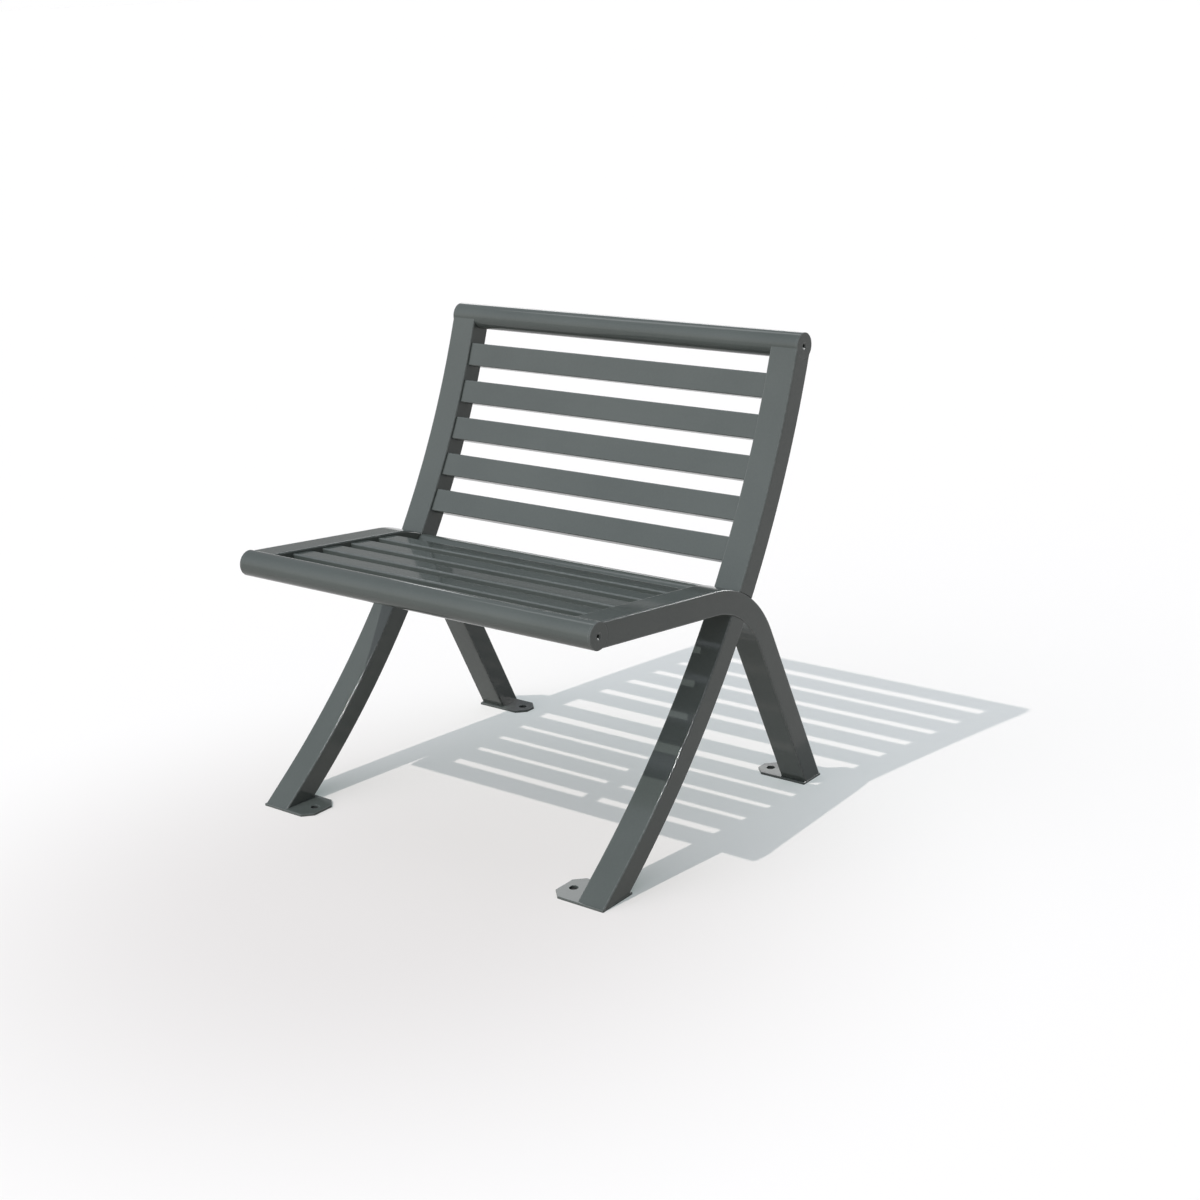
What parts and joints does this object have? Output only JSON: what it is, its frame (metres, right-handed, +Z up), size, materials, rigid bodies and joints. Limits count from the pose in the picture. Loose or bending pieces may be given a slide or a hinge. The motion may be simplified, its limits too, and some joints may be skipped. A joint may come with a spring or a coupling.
{
  "type": "metal street chair",
  "caption": "Armless outdoor chair of welded steel tube: slatted seat and curved slatted back between bent side frames on splayed legs, with foot plates to bolt it down.",
  "frame": {"origin": "on the floor, under the middle of the chair's outline", "axes": "+Z up, the sitter faces -Y, +X to the sitter's left"},
  "size_m": [0.72, 0.604, 0.7612],
  "materials": {
    "powder_coat": "satin grey-green powder coat"
  },
  "bodies": {
    "root": {"front_tube": "powder_coat", "top_tube": "powder_coat", "rear_cross_tube": "powder_coat", "seat_brace": "powder_coat", "seat_slat_1": "powder_coat", "seat_slat_2": "powder_coat", "seat_slat_3": "powder_coat", "seat_slat_4": "powder_coat", "back_slat_1": "powder_coat", "back_slat_2": "powder_coat", "back_slat_3": "powder_coat", "back_slat_4": "powder_coat", "back_slat_5": "powder_coat", "side_rail_right": "powder_coat", "back_stile_right": "powder_coat", "front_leg_right": "powder_coat", "front_tube_cap_right": "powder_coat", "top_tube_cap_right": "powder_coat", "foot_plate_front_right": "powder_coat", "foot_plate_rear_right": "powder_coat", "side_rail_left": "powder_coat", "back_stile_left": "powder_coat", "front_leg_left": "powder_coat", "front_tube_cap_left": "powder_coat", "top_tube_cap_left": "powder_coat", "foot_plate_front_left": "powder_coat", "foot_plate_rear_left": "powder_coat"}
  },
  "joints": []
}
